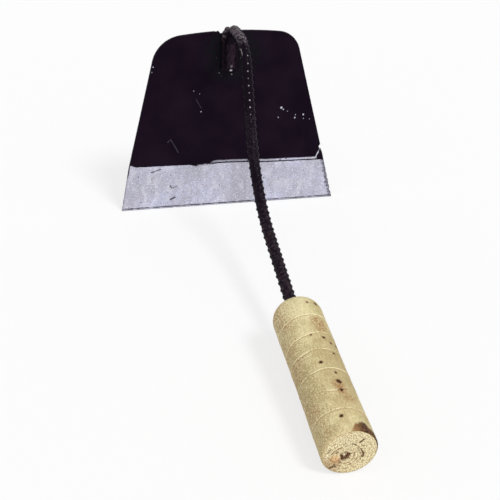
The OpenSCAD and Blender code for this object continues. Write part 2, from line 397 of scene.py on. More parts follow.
blade_finish, place = start_finish("blade_paint_and_steel")
x, v, flat = flat_place(place, plate_foot, across, up_plate)
depth = place.along(tuple(into_plate)) - plate_foot.dot(into_plate) / MM
ragged = flat.shaken(0.8, 0.9)
on_front = depth.rise(2.2, 2.0)
left_in = (x + blade_w / 2 / MM) * cos(left_band_lean) - v * sin(left_band_lean)
right_in = (blade_w / 2 / MM - x) * cos(right_lean) - v * sin(right_lean)
fine = flat.mottle(0.7)
medium = flat.mottle(3.5, 3)
broad = flat.mottle(26)
speckle = flat.mottle(1.1, 4)

# The paint's border follows the crease. It is a little lower to the right of a step and lowest
# at the step itself, and it is higher near the middle and at the left end
past_step = x.rise(-35, -28)
border = band_h / MM - x * tan(band_tilt) + x.rise(-34, -8) * x.rise(36, 2) * 1.2 + x.rise(-79, -86) * 2
border = border - 0.3 - past_step * 0.9 - past_step * x.rise(-11, -18) * 0.8
above = v - border + (medium - 0.5) * 1.1 + (fine - 0.5) * 0.5
chipped_border = x.rise(-29, -26) * x.rise(-14, -17) * fine.rise(0.42, 0.5) * above.rise(1.4, 1)
ground_off = above.rise(0.2, -0.15) | chipped_border
line_above = abs(above - 1.95).rise(1.05, 0.65) * x.rise(-17, -13) * x.rise(77, 76)
line_above = line_above * (x.rise(-20, 45) * 0.45 + 0.5) * medium.rise(0.3, 0.42)
chipped = ragged.stroke((75.6, 39.8, 0), (79.2, 47.4, 0), 0.9)
for chip_x, chip_v, radius in chips:
    chipped = chipped | ragged.far_from((chip_x, chip_v, 0)).rise(radius + 0.25, radius - 0.2)
worn_line = 0.0
for start, end, width in scratches:
    worn_line = ragged.stroke((*start, 0), (*end, 0), width) * 0.2 | worn_line
back_bare = (1 - on_front) * (v + (medium - 0.5) * 5 + (broad - 0.5) * 6).rise(7, 6.2)
bare = on_front * (ground_off | line_above | chipped) | back_bare

# What darkens the bare steel: scars, specks, paint left along its ends, dark lines along the cutting edge
scar = 0.0
for start, end, width in scars:
    scar = ragged.stroke((*start, 0), (*end, 0), width) | scar
speck = flat.mottle(1.3, 1).rise(0.69, 0.74) * 0.35
left_paint = left_in.rise(0.95, 0.55) * (v.rise(30, 33) | fine.rise(0.5, 0.56))
right_paint = (right_in + (medium - 0.5) * 6).rise(3.6, 2) * speckle.rise(0.42, 0.5)
edge_dark_lines = (v + (medium - 0.5) * 1.6).rise(1.2, 1.5) * v.rise(2.6, 2) * (medium.rise(0.35, 0.5) * 0.5 + 0.45)
edge_dark_lines = edge_dark_lines | v.rise(0.9, 0.4) * (x.rise(-30, 30) * 0.35 + 0.5)
marked = on_front * (scar * 0.85 | speck | left_paint | right_paint * 0.9 | edge_dark_lines)

# The paint is sooty round the weld. Behind the bar the steel carries a painted shade of the bar, warm and
# dark, and the steel is warm and a little darker at its left end
weld_middle = (1, 136, 0)
sooty = flat.far_from(weld_middle).rise(32, 12) * medium.rise(0.3, 0.6)
paint_tone = broad.rise(0.3, 0.75).blend(black_paint, thin_paint).coated(
    (sooty * 0.8, weld_soot),
    (worn_line, warm_steel))
bar_shade_and_warm_left_end = x.rise(-2, 4) * x.rise(24, 16) | x.rise(-68, -80) * 0.6
cloudy = flat.scaled((1, 0.45, 1)).mottle(5, 3)
steel_tone = (broad * 0.55 + medium * 0.45).rise(0.3, 0.7).blend(warm_steel, bare_steel).coated(
    (bar_shade_and_warm_left_end * 0.8, warm_steel),
    (speckle.rise(0.48, 0.34) * 0.6 | bar_shade_and_warm_left_end * 0.25, shade_steel),
    (cloudy.rise(0.5, 0.34) * 0.2, shade_steel),
    (cloudy.rise(0.5, 0.66) * 0.2, bright_steel),
    (speckle.rise(0.54, 0.72) * 0.8, bright_steel),
    (fine.rise(0.62, 0.72) * medium.rise(0.48, 0.6), bright_steel),
    (marked, dirt))
steel_shine = bare * (1 - marked)
end_finish(blade_finish, place, {
    "Base Color": bare.blend(paint_tone, steel_tone),
    "Metallic": steel_shine * 0.35,
    "Roughness": steel_shine * 0.14 + 0.42 + (medium - 0.5) * 0.2,
    "Specular IOR Level": 0.04,
    "Normal": (medium * 0.5 + fine * 0.3 - bare * 0.6 - scar * 0.6).bump(0.12 * MM),
})
blade.data.materials.append(blade_finish)
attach(blade, "root")
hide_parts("blade")

# The shank: one length of 8 mm ribbed bar, drawn to a point where it is driven into the grip and
# bent cold up to a crook, then down to a foot that lies on the blade, both turned a little left.
# Crescent ribs run round its two sides, and a seam runs along its top and its bottom.
grip_l = 140.5 * MM
bar_r = 4.1 * MM
rib_h = 0.8 * MM
rib_w = 2.4 * MM
crest_w = 1 * MM
right_pitch = 5.6 * MM
left_pitch = 7.1 * MM
rib_slant = radians(24)
seam_h = 0.45 * MM
seam_w = 1.3 * MM
tang_l = 100 * MM
point_l = 14 * MM
lead_l = 12 * MM
exit_turn = radians(7.1)
exit_r = 45 * MM
reach_l = 62.5 * MM
rise_turn = radians(51)
rise_r = 114 * MM
bend_r = 28 * MM
top_l = 14.5 * MM
crook_r = 14 * MM
foot_l = 20 * MM
crook_side = radians(2)
foot_height = 126 * MM
first_rib = 2.9 * MM
rib_stagger = 5.7 * MM
weld_over_crook = 8 * MM

grip_run = -Vector(mounts["butt_face"]["axis"])
butt_middle = Vector(mounts["butt_face"]["pos_m"])
grip_slope = atan2(grip_run.z, grip_run.y)
plate_lean = atan2(-into_plate.z, into_plate.y)


def onward(place, length, turn):
    """Carries a place along the bar, as y, z and slope, on by a length that turns evenly."""
    y, z, slope = place
    if turn == 0:
        return y + length * cos(slope), z + length * sin(slope), slope
    radius = length / turn
    turned = slope + turn
    return y + radius * (sin(turned) - sin(slope)), z - radius * (cos(turned) - cos(slope)), turned


bar_start = (butt_middle.y + grip_l * grip_run.y, butt_middle.z + grip_l * grip_run.z, grip_slope)
riser_slope = grip_slope + exit_turn + rise_turn
crook_turn = -(pi / 2 + plate_lean)
# Stretches of the bar: length, turn
bar_runs = [(lead_l, 0), (exit_r * exit_turn, exit_turn), (reach_l, 0), (rise_r * rise_turn, rise_turn),
            (bend_r * riser_slope, -riser_slope), (top_l, 0),
            (crook_r * -crook_turn, crook_turn), (foot_l, 0)]
foot_end = on_plate(0, foot_height, -(bar_r + seam_h))
without_riser = bar_start
for length, turn in bar_runs:
    without_riser = onward(without_riser, length, turn)
bar_runs.insert(4, ((foot_end.z - without_riser[1]) / sin(riser_slope), 0))
bar_l = sum(length for length, turn in bar_runs)
rib_end = bar_l - foot_l - weld_over_crook


def along_bar(far):
    """The bar's place so far from the grip. Inside the grip the distance is below zero."""
    place = bar_start
    if far < 0:
        return onward(place, far, 0)
    for length, turn in bar_runs:
        if far <= length:
            return onward(place, far, turn * far / length)
        place = onward(place, length, turn)
        far -= length
    return place


riser_end = sum(length for length, turn in bar_runs[:5])
riser_top = Vector((0, *along_bar(riser_end)[:2]))
crook_lean = Matrix.Rotation(crook_side, 3, Vector((0, cos(riser_slope), sin(riser_slope))))


def turned_left(place):
    """A place beyond the riser, carried to the left round the riser's line."""
    return riser_top + crook_lean @ (place - riser_top)


# Each rib is a disc that is sunk towards the other side, so that it runs out at the seams
rib_sink = (rib_h + 0.5 * MM) / 2
rib_disc_r = bar_r + rib_h - rib_sink


def ease(value, start, end):
    """0 at the start and 1 at the end, eased."""
    share = min(1, max(0, (value - start) / (end - start)))
    return share * share * (3 - 2 * share)


def rib_height(far, angle):
    """How far a rib stands above the round bar at a place and an angle from its right side."""
    side = 1 if cos(angle) > 0 else -1
    first, pitch = (first_rib, right_pitch) if side > 0 else (first_rib + rib_stagger, left_pitch)
    slanted = far + tan(rib_slant) * bar_r * sin(angle) - first
    which = round(slanted / pitch)
    if which < 0 or first + which * pitch > rib_end:
        return 0
    off_crest = abs(slanted - which * pitch)
    worn = 1 - 0.14 * (1 + noise.noise(Vector((which * 3.1, side * 5.7, 0.4))))
    reach = rib_sink * abs(cos(angle)) + sqrt(rib_disc_r ** 2 - (rib_sink * sin(angle)) ** 2) - bar_r
    return max(0, reach) * worn * (1 - ease(off_crest, crest_w / 2, rib_w / 2))


# Painted glints along the bar, in millimetres: how far apart they are, and half of one's length
spot_pitch = 5.5
spot_half = 0.95


def painted_glint_at(far, angle, slope):
    """How strong the painted glint is at a place: in spots where the right ribs meet the seam along the bar's
    top, in a few on the left ribs of the crook, and in one thin line on the left, just past the
    riser."""
    turn = degrees(angle)
    past_riser = (far - riser_end) / MM
    off = (past_riser + 8) / spot_pitch
    near_spot = exp(-((off - round(off)) * spot_pitch / spot_half) ** 2)
    near_spot *= 0.86 + 0.3 * noise.noise(Vector((round(off) * 2.37, 0.7, 0.2)))
    seam_at = 78 + 15 * ease(slope, 0.9, 1.1)
    spots = near_spot * exp(-((turn - seam_at) / 13) ** 2)
    left_spots = near_spot * exp(-((turn - 164) / 11) ** 2) * (0 <= slope < 0.5) * 0.85
    line = exp(-((turn - 138) / 4.5) ** 2) * ease(past_riser, 7, 9) * ease(past_riser, 16, 14)
    return max(spots, left_spots, 0.9 * line)


def seam_height(angle):
    """How far a seam stands above the round bar at an angle from its right side."""
    off_seam = abs(abs(angle) - pi / 2) * bar_r
    return seam_h * (1 - ease(off_seam, seam_w / 2 - 0.3 * MM, seam_w / 2 + 0.25 * MM))


def skin_faces(rings, count, first=0):
    """The faces of a closed skin over rings of so many points, from a first point on."""
    faces = []
    for ring in range(first, first + (rings - 1) * count, count):
        above = ring + count
        for i in range(count):
            after = (i + 1) % count
            faces.append((ring + i, ring + after, above + after, above + i))
    last = first + (rings - 1) * count
    return faces + [tuple(range(first, first + count)), tuple(range(last, last + count))]


def skin(name, rings, crisp):
    """A closed piece laid over rings of points that all have the same count."""
    points = [point for ring in rings for point in ring]
    return make_piece(name, points, skin_faces(len(rings), len(rings[0])), crisp)


bar_sides = 44
bar_step = 0.32 * MM
end_round = 0.4 * MM
bar_stations = [-tang_l, -tang_l + point_l / 2, -tang_l + point_l, -tang_l / 2, -10 * MM]
bar_stations += [bar_step * i for i in range(ceil(bar_l / bar_step))] + [bar_l - end_round, bar_l]
bar_rings = []
crests = []
glints = []
for far in bar_stations:
    y, z, slope = along_bar(far)
    middle = Vector((0, y, z))
    square_up = Vector((0, -sin(slope), cos(slope)))
    carried = turned_left if far > riser_end else Vector
    drawn = 1 - 2 / 3 * max(0, (-far - tang_l + point_l) / point_l)
    cut_round = end_round if far == bar_l else 0
    ring = []
    for side in range(bar_sides):
        angle = (side / bar_sides * 2 * pi + pi) % (2 * pi) - pi
        rib = rib_height(far, angle)
        seam = seam_height(angle) * ease(far, 2 * MM, 6 * MM)
        rolled = 0.06 * MM * noise.noise(Vector((far / (4 * MM), 2 * cos(angle), 2 * sin(angle))))
        radius = drawn * bar_r + max(rib, seam) + rolled - 0.06 * MM - cut_round
        ring.append(carried(middle + radius * (cos(angle) * across + sin(angle) * square_up)))
        crests.append(max(rib / rib_h, seam / rib_h * 0.8))
        glints.append(painted_glint_at(far, angle, slope))
    bar_rings.append(ring)
shank = skin("ribbed_bar", bar_rings, 62)
shank.data.attributes.new("crest", "FLOAT", "POINT").data.foreach_set("value", crests)
shank.data.attributes.new("glint", "FLOAT", "POINT").data.foreach_set("value", glints)

bar_black = rgb(14, 5, 17)
bar_dust = rgb(46, 36, 42)
bar_rust = rgb(48, 30, 28)
bar_fleck = rgb(112, 100, 110)
crook_grey = rgb(110, 98, 106)
foot_plum = rgb(44, 29, 43)
# Pale steel for rubbed marks, and for the painted glints on the bar
rubbed_and_glint_steel = rgb(196, 190, 194)

bar_finish, place = start_finish("bar_paint_and_scale")
crest = place.node("ShaderNodeAttribute", {"attribute_name": "crest"}, {}, "Fac")
glint = place.node("ShaderNodeAttribute", {"attribute_name": "glint"}, {}, "Fac")
height = place.along((0, 0, 1))
grit = place.mottle(0.6)
blotch = place.mottle(2.6, 3)
drift = place.mottle(17)

# Where things lie on the bar, by their height and their distance from the foot's end
foot_spot = turned_left(foot_end) / MM
# A faint painted highlight on the rim of the foot's end
foot_end_glint = foot_spot + Vector((0.4, -4.2, 2.2))
low = height.rise(78, 48)
top_of_crook = height.rise(159.5, 163.5) * blotch.rise(0.42, 0.56)
on_foot = place.far_from(tuple(foot_spot)).rise(24, 20) * height.rise(150, 146)
foot_right = place.along((1, 0, 0)).rise(-7, 1)
# The heights of the bar where the painted glints show
glint_zone = height.rise(108, 121) * (1 - height.rise(130, 138) * height.rise(156, 149) * 0.65)

# Bright marks on the bar: rib crests rubbed bare, painted glints along the ribs, and a faint painted
# highlight on the foot's end
rubbed = crest.rise(0.6, 0.95) * grit.rise(0.52, 0.64) * (low * 0.25 + 0.05 + top_of_crook * 0.6)
rubbed = glint.rise(0.5, 0.85) * (glint_zone * 0.9 + 0.08) * blotch.rise(0.34, 0.5) | rubbed
rubbed = rubbed | place.far_from(tuple(foot_end_glint)).rise(1.5, 0.8) * 0.15
fleck = grit.rise(0.55, 0.66) * blotch.rise(0.42, 0.58) * (crest * (low * 0.4 + 0.1) + low * 0.25 + 0.06)
fleck = grit.rise(0.6, 0.68) * height.rise(74, 88) * height.rise(124, 112) * 0.5 | fleck
dusty = (low * 0.45 + on_foot * 0.6) * blotch.rise(0.4, 0.65) + low * 0.1
bar_tone = dusty.blend(bar_black, bar_dust).coated(
    (drift.rise(0.5, 0.72) * low * blotch.rise(0.4, 0.6) * 0.6, bar_rust),
    (top_of_crook * 0.85, crook_grey),
    (height.rise(156, 160) * grit.rise(0.52, 0.44) * 0.7, bar_black),
    (on_foot * foot_right * blotch.rise(0.3, 0.6) * 0.8, foot_plum),
    (fleck, bar_fleck),
    (rubbed, rubbed_and_glint_steel))
end_finish(bar_finish, place, {
    "Base Color": bar_tone,
    "Metallic": rubbed * 0.8,
    "Roughness": 0.34 + low * 0.2 + (blotch - 0.5) * 0.25,
    "Specular IOR Level": 0.04,
    "Normal": (grit * 0.5 + blotch * 0.7).bump(0.18 * MM),
})
shank.data.materials.append(bar_finish)
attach(shank, "root")
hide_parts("shank")

# The welds: three stick-weld beads that join the foot of the bar to the blade, one across its end
# and one along each side, the left of which runs on over the blade's top. Each is a row of drops
# that froze one over the other, painted over afterwards with the rest.
bead_r = 3 * MM
bead_l = 24 * MM
ripple = 2.6 * MM
bead_x = bar_r + 0.4 * MM
bead_out = 1.6 * MM
bead_more = 6 * MM
toe_drop = 1.8 * MM
foot_x = turned_left(foot_end).x
foot_lean = (crook_lean @ up_plate).x
bead_sides = 40
bead_step = 0.3 * MM


def bead(name, start, end, seed, veer):
    """A weld bead between two places on the plate, whose last stretch veers aside."""
    run = end - start
    forward = run.normalized()
    out = -into_plate
    sideways = forward.cross(out)
    whole = run.length + 2 * bead_r
    count = ceil(whole / bead_step)
    rings = []
    for i in range(count + 1):
        far = whole * (0.004 + 0.992 * i / count)
        middle = start + (far - bead_r) * forward
        middle += veer * ease(far, whole - bead_r - bead_more, whole - bead_r)
        end_off = max(0, bead_r - far, far - whole + bead_r) / bead_r
        ring = []
        for side in range(bead_sides):
            angle = side / bead_sides * 2 * pi
            way = cos(angle) * out + sin(angle) * sideways
            phase = (far + 0.5 * ripple * (1 - cos(angle))) / ripple + seed
            drop = abs(sin(pi * phase)) ** 0.6
            lump = noise.noise((middle + bead_r * way) / (3.6 * MM) + Vector((seed, 0, 0)))
            radius = bead_r * (0.8 + 0.08 * drop + 0.17 * lump)
            ring.append(middle + radius * sqrt(1 - end_off ** 2) * way)
        rings.append(ring)
    return skin(name, rings, 55)


weld_black = rgb(18, 11, 18)
weld_scale = rgb(44, 31, 43)
toe_glint_steel = rgb(190, 186, 192)

weld_finish, place = start_finish("weld_bead")
x, v, flat = flat_place(place, plate_foot, across, up_plate)
grit = place.mottle(0.5)
blotch = place.mottle(1.8, 3)
# A painted highlight on the toe bead, coloured and shone as bare steel
toe_glint_spot = (-0.9, 122.6, 0)
bright = flat.shaken(0.6, 0.5).far_from(toe_glint_spot).rise(1.5, 0.7)
# The bead is paler grey where it runs up towards the crook
paler_top = v.rise(146, 152) * blotch.rise(0.42, 0.58)
weld_tone = (blotch.rise(0.45, 0.75) * 0.4).blend(weld_black, weld_scale).coated(
    (paler_top * 0.55, crook_grey),
    (bright, toe_glint_steel))
end_finish(weld_finish, place, {
    "Base Color": weld_tone,
    "Metallic": bright * 0.8,
    "Roughness": 0.34 + (blotch - 0.5) * 0.2,
    "Specular IOR Level": 0.03,
    "Normal": (grit * 0.5 + blotch * 0.6).bump(0.15 * MM),
})
left_l = bead_l + bead_more
run_on = 2.1 * MM * across


def bead_end(side, far_up, lean=foot_lean):
    """A bead's end to the left or right of the foot's line, so far up from the foot's end."""
    return on_plate(foot_x + lean * far_up + side * bead_x, foot_height + far_up, -bead_out)


beads = [("left_weld_bead", "weld_left", bead_end(-1, 0), bead_end(-1, left_l), 0.3, run_on),
         ("right_weld_bead", "weld_right", bead_end(1, 0), bead_end(1, bead_l), 1.7, Vector()),
         ("toe_weld_bead", "weld_toe", bead_end(-1, -toe_drop, 0), bead_end(1, -toe_drop, 0), 4.1, Vector())]
for bead_name, node, start, end, seed, veer in beads:
    weld = bead(bead_name, start, end, seed, veer)
    weld.data.materials.append(weld_finish)
    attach(weld, "root")
    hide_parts(node)

# Weld spatter: six small beads of metal thrown off the rod, which froze where they hit the
# plate. They are low uneven domes, with the paint over them rubbed thin.
# Each is its place across, its place above the foot's end, and its radius.
thrown = [(-10, -6, 1.1), (-8.2, -8.8, 0.9), (0.4, -7.6, 1.2), (9.5, 3, 0.8), (-12.4, 7, 0.9),
          (11.8, -4.5, 0.6)]
dome_rings = 9
dome_sides = 22
dome_inset = 0.2 * MM
dome_rise = 0.82
spatter_points = []
spatter_faces = []
for spot_x, spot_v, spot_r in thrown:
    spatter_faces += skin_faces(dome_rings, dome_sides, len(spatter_points))
    for i in range(dome_rings):
        climb = i / (dome_rings - 1) * pi / 2 * 0.97
        for j in range(dome_sides):
            angle = j / dome_sides * 2 * pi
            lumpy = noise.noise(Vector((spot_x + cos(angle), spot_v + sin(angle), 2 * climb)))
            radius = spot_r * MM * (0.93 + 0.07 * lumpy)
            arm = radius * cos(climb)
            out = dome_rise * radius * sin(climb) - dome_inset
            spatter_points.append(on_plate(spot_x * MM + arm * cos(angle),
                                           foot_height + spot_v * MM + arm * sin(angle), -out))
spatter = make_piece("weld_spatter_beads", spatter_points, spatter_faces, 60)

spatter_finish, place = start_finish("spatter")
proud = plate_foot.dot(into_plate) / MM - place.along(tuple(into_plate))
rubbed = proud.rise(0.35, 0.8) * place.mottle(0.5).rise(0.4, 0.6)
end_finish(spatter_finish, place, {
    "Base Color": (rubbed * 0.6).blend(weld_black, rubbed_and_glint_steel),
    "Metallic": rubbed * 0.6,
    "Roughness": 0.38 - rubbed * 0.08,
    "Specular IOR Level": 0.12,
})
spatter.data.materials.append(spatter_finish)
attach(spatter, "root")
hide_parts("weld_spatter")

# The grip: a pale wooden pole, turned with a domed front end and sawn off square at the butt,
# bored and driven onto the tang. Its surface is dry and unvarnished, with raised rings left by
# the turning, small knots and stains, and some bark left along the butt's rim.
butt_r = 18.2 * MM
front_r = 17.7 * MM
dome_face_r = 6.7 * MM
rim_r = 2 * MM
bore_r = 4.15 * MM
bore_shown = 6 * MM
bore_lip = 0.3 * MM
grip_up = Vector((0, -grip_run.z, grip_run.y))
dome_r = front_r - dome_face_r
grip_sides = 200

# Rings left by the turning: place from the butt, how far it climbs to the right, strength
turned_rings = [(113.7, 1.4, 1), (94.4, 2, 0.9), (77.6, -0.3, 1), (73.2, -1.5, 0.45), (58.4, 0.8, 1),
                (37.4, -4, 0.85), (20.4, -0.8, 1)]
# Pits in the sawn butt, as strokes: start, end, width, depth, all across and up from its middle
pits = [((5.5, 7.1), (7.8, 9.5), 1.1, 1), ((0.6, 6.9), (2.4, 6.5), 0.7, 0.7),
        ((2.4, 6.5), (3.8, 5.1), 0.7, 0.7), ((7.1, 4.6), (8.8, 4.7), 0.8, 0.5),
        ((4.8, 2.7), (5.8, 0.2), 0.6, 0.5), ((6.8, 2), (8.7, -1.6), 0.9, 0.8),
        ((8.7, -1.6), (8.3, -4.3), 1.5, 0.9), ((7.4, -5.7), (7.4, -7.4), 0.6, 0.5),
        ((-5.2, -1.7), (-4.1, -5.2), 1.5, 1), ((-0.8, -0.9), (-1.4, -4.4), 2, 1),
        ((-0.6, -0.9), (1.4, -0.9), 0.9, 0.8), ((-8.5, 0.5), (-7.5, 1.6), 1, 0.8),
        ((-11.4, 0.1), (-10.6, 1), 0.9, 0.6), ((-13.7, 1.6), (-12.5, 3.7), 0.9, 0.6),
        ((-10.2, 2.2), (-9.8, 2.6), 0.7, 0.4), ((-7.6, 4), (-7.3, 4.3), 0.7, 0.4),
        ((-11.4, -11.2), (-9.8, -10.6), 1.7, 0.8), ((-9.2, -8.4), (-8, -10.9), 1, 0.7),
        ((-15.2, -3.2), (-14.9, -3), 0.8, 0.5), ((-6.6, -5.3), (-4.5, -8), 0.8, 0.5),
        ((-13.8, -2), (-10.4, -6.2), 0.6, 0.4), ((-10.4, -6.2), (-7.4, -7), 0.6, 0.4)]


def on_wood(far, angle, radius):
    """A place so far from the butt, at an angle from the top towards the right."""
    return butt_middle + far * grip_run + radius * (sin(angle) * across + cos(angle) * grip_up)


def off_stroke(point, start, end):
    """How far a flat point lies from the line between two others."""
    run = end - start
    share = min(1, max(0, (point - start).dot(run) / run.length_squared))
    return (point - start - share * run).length


def sawn_in(radius, angle):
    """How deep the sawn butt lies at a place, with its saw marks, pith and cracks."""
    point = Vector((radius * sin(angle), radius * cos(angle))) / MM
    deep = 0.07 * (1 + noise.noise(Vector((point.x * 0.5, point.y * 1.6, 0))))
    deep += 0.06 * (1 + noise.noise(Vector((point.x * 1.9, point.y * 1.9, 3))))
    for start, end, width, strength in pits:
        away = off_stroke(point, Vector(start), Vector(end))
        deep = max(deep, 0.6 * strength * exp(-(away / (0.55 * width)) ** 2))
    return deep * MM


def turned_in(far, angle):
    """How far the turned side lies inside its full radius, with the rings standing a little up."""
    place = Vector((sin(angle), cos(angle), far / (22 * MM)))
    shallow = 0.16 * (1 + noise.noise(place * 1.3)) + 0.05 * (1 + noise.noise(place * 5))
    shallow += 0.4 * sin(pi * min(1, far / grip_l)) ** 2
    for at, climb, strength in turned_rings:
        wander = 0.5 * noise.noise(Vector((3 * sin(angle), 3 * cos(angle), at)))
        off = far / MM - at - climb * sin(angle) - wander
        shallow += strength * (0.14 * exp(-((off + 0.9) / 0.6) ** 2) - 0.16 * exp(-(off / 0.5) ** 2))
    return max(0, shallow) * MM


ring_hole_r = 0.2 * MM
butt_face_rings = 44
rim_steps = 8
side_step = 0.6 * MM
dome_steps = 26
side_from = rim_r
side_to = grip_l - dome_r
side_count = ceil((side_to - side_from) / side_step)
butt_edge = butt_r - rim_r
angles = [i / grip_sides * 2 * pi for i in range(grip_sides)]
grip_rings = []
for i in range(butt_face_rings):
    radius = ring_hole_r + (butt_edge - ring_hole_r) * i / butt_face_rings
    grip_rings.append([on_wood(sawn_in(radius, angle), angle, radius) for angle in angles])
for i in range(rim_steps):
    turn = i / rim_steps * pi / 2
    fade = cos(turn)
    radius = butt_edge + rim_r * sin(turn)
    grip_rings.append([on_wood(rim_r * (1 - cos(turn)) + fade * sawn_in(radius, angle), angle,
                               radius - (1 - fade) * turned_in(rim_r, angle)) for angle in angles])
for i in range(side_count):
    share = i / side_count
    far = side_from + (side_to - side_from) * share
    radius = butt_r + (front_r - butt_r) * share
    grip_rings.append([on_wood(far, angle, radius - turned_in(far, angle)) for angle in angles])
for i in range(dome_steps + 1):
    turn = i / dome_steps * pi / 2
    far = side_to + dome_r * sin(turn)
    radius = dome_face_r + dome_r * cos(turn)
    fade = cos(turn)
    grip_rings.append([on_wood(far - (1 - fade) * 0.1 * MM, angle, radius - fade * turned_in(far, angle))
                       for angle in angles])
bore_floor = grip_l - bore_shown
for far, radius in ((grip_l - bore_lip, bore_r), (bore_floor, bore_r), (bore_floor, ring_hole_r)):
    grip_rings.append([on_wood(far, angle, radius) for angle in angles])
grip = skin("wooden_grip", grip_rings, 50)

pale_wood = rgb(219, 205, 158)
wood = rgb(199, 182, 136)
shaded_wood = rgb(154, 132, 88)
brown_wood = rgb(156, 118, 76)
green_wood = rgb(188, 182, 132)
ring_wood = rgb(238, 226, 184)
knot = rgb(46, 27, 12)
stain = rgb(150, 104, 64)
bark = rgb(112, 78, 48)
dark_bark = rgb(48, 32, 20)
sawn_wood = rgb(241, 229, 188)
sawn_shade = rgb(148, 122, 76)
sawn_brown = rgb(128, 84, 46)
pith = rgb(72, 36, 14)
peach = rgb(232, 190, 138)

# Knots and specks on the side: place from the butt, angle from the top in degrees, radius
knots = [(126.9, 13.9, 0.57), (127.9, 37, 1.15), (92.3, -6.5, 0.57), (89.6, 20.9, 0.97),
         (85.5, 35.4, 0.82), (85.8, 53.6, 0.92), (74.5, 31.1, 0.72), (64.5, -8.3, 1.07),
         (53.9, 14.6, 0.72), (45.5, 12.6, 1.37), (44.5, 15, 1.02), (37.1, 11.4, 1.15), (14, -9.9, 1.12)]
# Stains in the wood: place, angle, radius, strength
stains = [(106, 24, 8.5, 0.9), (101, 30, 6, 0.6), (98, 20, 4.5, 0.7), (43, 9, 6, 0.85),
          (37, 13, 5.5, 0.95), (29, 22, 5.5, 0.6), (109, -42, 7, 0.35), (87, 30, 3, 0.35),
          (74, 33, 2, 0.4), (53, 14, 2, 0.3), (6, -48, 5, 0.3)]

grip_finish, place = start_finish("dry_wood")
x, up, end_flat = flat_place(place, butt_middle, across, grip_up)
far = place.along(tuple(grip_run)) - butt_middle.dot(grip_run) / MM
angle = x.math("ARCTAN2", x, up) * degrees(1)
lengthwise = x.node("ShaderNodeCombineXYZ", {}, {"X": x, "Y": up, "Z": far * 0.2})
grain = lengthwise.mottle(1.2, 3)
stipple = place.mottle(0.85, 4)
patch = place.mottle(11, 3)
cloud = place.mottle(30)
ragged = place.shaken(1.1, 1)
rough_left = angle.rise(0, -50) * 0.4 + 0.36
left_flank = angle.rise(-28, -62) * patch.rise(0.35, 0.6)

# Painted light makes the front paler, painted shade darkens the top and the right, and the wood is darker
# behind the middle and rough on the left
wood_tone = patch.rise(0.36, 0.6).blend(wood, pale_wood).coated(
    (cloud.rise(0.45, 0.65) * 0.45, green_wood),
    (grain.rise(0.5, 0.36) * 0.35, shaded_wood),
    (far.rise(85, 122) * angle.rise(30, 5) * 0.35, sawn_wood),
    (angle.rise(-22, 12) * far.rise(108, 86) * far.rise(0, 60) * 0.38, shaded_wood),
    (angle.rise(14, 50) * 0.32, shaded_wood),
    (far.rise(98, 55) * far.rise(10, 50) * 0.24, shaded_wood),
    (stipple.rise(0.49, 0.37) * rough_left, shaded_wood),
    (stipple.rise(0.53, 0.63) * rough_left * 0.8, ring_wood),
    (left_flank * stipple.rise(0.66, 0.42) * 0.7, brown_wood))
# Each turned ring gets a painted highlight as a pale line, and a painted shadow as a brown line just behind
# it
broken = (patch * 0.5 + grain * 0.5).rise(0.38, 0.54)
for at, climb, strength in turned_rings:
    off = far - at - x * (climb / (butt_r / MM)) + (patch - 0.5) * 2.4 + (stipple - 0.5) * 1.2
    wood_tone = wood_tone.coated(
        (abs(off).rise(0.65, 0.15) * broken * (strength * 0.85), ring_wood),
        (abs(off + 0.9).rise(0.6, 0.15) * broken * (strength * 0.65), brown_wood))


def side_mark(at, mark_angle, at_radius):
    """A mark's place on the side, in millimetres."""
    return tuple(on_wood(at * MM, radians(mark_angle), at_radius) / MM)


for at, mark_angle, radius, strength in stains:
    spread = ragged.far_from(side_mark(at, mark_angle, butt_r)).rise(radius, radius * 0.4)
    wood_tone = (spread * stipple.rise(0.66, 0.38) * strength).blend(wood_tone, stain)
knotted = 0.0
haloed = 0.0
knot_reach = 17.5 * MM
for at, mark_angle, radius in knots:
    spot = ragged.far_from(side_mark(at, mark_angle, knot_reach))
    knotted = spot.rise(radius + 0.45, radius - 0.1) | knotted
    haloed = spot.rise(radius + 1.6, radius + 0.3) * 0.35 | haloed
wood_tone = wood_tone.coated((haloed, stain), (knotted * 0.95, knot))

# Bark along the upper right of the butt's rim
bark_reach = angle.rise(-6, 14) * 6.6 + angle.rise(14, 32) * 1.8 - angle.rise(33, 44) * 3.2
bark_reach = bark_reach - angle.rise(50, 80) * 3 - angle.rise(82, 100) * 2.4 + (patch - 0.5) * 3
barked = (bark_reach - far + (stipple - 0.5) * 5).rise(-0.8, 1.2) * (angle.rise(-8, 10) * 0.35 + 0.65)
bark_tone = ragged.mottle(1, 3).rise(0.4, 0.6).blend(dark_bark, bark)
bark_tone = (angle.rise(28, 4) * 0.75).blend(bark_tone, brown_wood)
wood_tone = barked.blend(wood_tone, bark_tone)

# The sawn butt, with growth rings round the pith
pith_spot = (-2.7, -2.7, 0)
peach_spot = (-8.9, -4.5, 0)
brown_spot = (-10.5, -8, 0)
growth_pitch = 2.3
end_ragged = end_flat.shaken(0.9, 0.9)
from_middle = end_flat.far_from((0, 0, 0))
from_pith = end_flat.shaken(5, 3).far_from(pith_spot)
growth = from_pith.math("FRACT", from_pith / growth_pitch)
ring_line = abs(growth - 0.5).rise(0.32, 0.08)
speckle = end_flat.mottle(0.8, 4)
rough = end_flat.mottle(2.4, 3)
heart = from_pith.rise(15, 6)
ring_stain = (speckle * 0.5 + rough * 0.5).rise(0.46, 0.58) * (heart * 0.6 + 0.4)
rotten = end_ragged.far_from(pith_spot).rise(4.4, 1.8) * rough.rise(0.36, 0.5)
